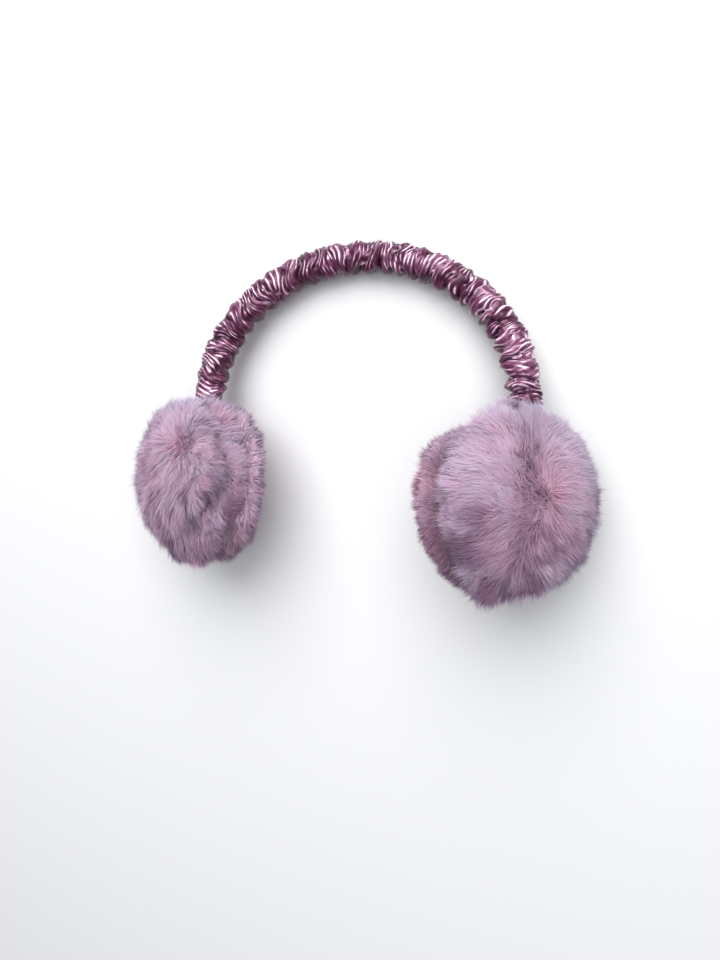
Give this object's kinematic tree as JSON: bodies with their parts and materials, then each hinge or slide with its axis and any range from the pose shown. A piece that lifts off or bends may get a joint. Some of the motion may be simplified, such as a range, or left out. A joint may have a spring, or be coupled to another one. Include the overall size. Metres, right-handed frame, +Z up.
{
  "type": "fur earmuffs",
  "caption": "Mauve earmuffs lying down: a spring arch in a gathered satin sleeve, with a domed fur muff and a flatter fur ear pad at each end.",
  "frame": {"origin": "on the surface the earmuffs lie on, under the middle of their outline", "axes": "+X from the left muff to the right one, +Y from the muffs toward the top of the arch, +Z up from the surface"},
  "size_m": [0.2566, 0.1734, 0.0877],
  "materials": {
    "mauve_satin": "satin",
    "lilac_pink_fur": "matte",
    "pad_fur": "matte",
    "spring_steel": "satin"
  },
  "bodies": {
    "root": {"headband_spring": "spring_steel", "gathered_sleeve": "mauve_satin", "left_outer_fur": "lilac_pink_fur", "right_outer_fur": "lilac_pink_fur", "left_inner_pad": "pad_fur", "right_inner_pad": "pad_fur"}
  },
  "joints": []
}
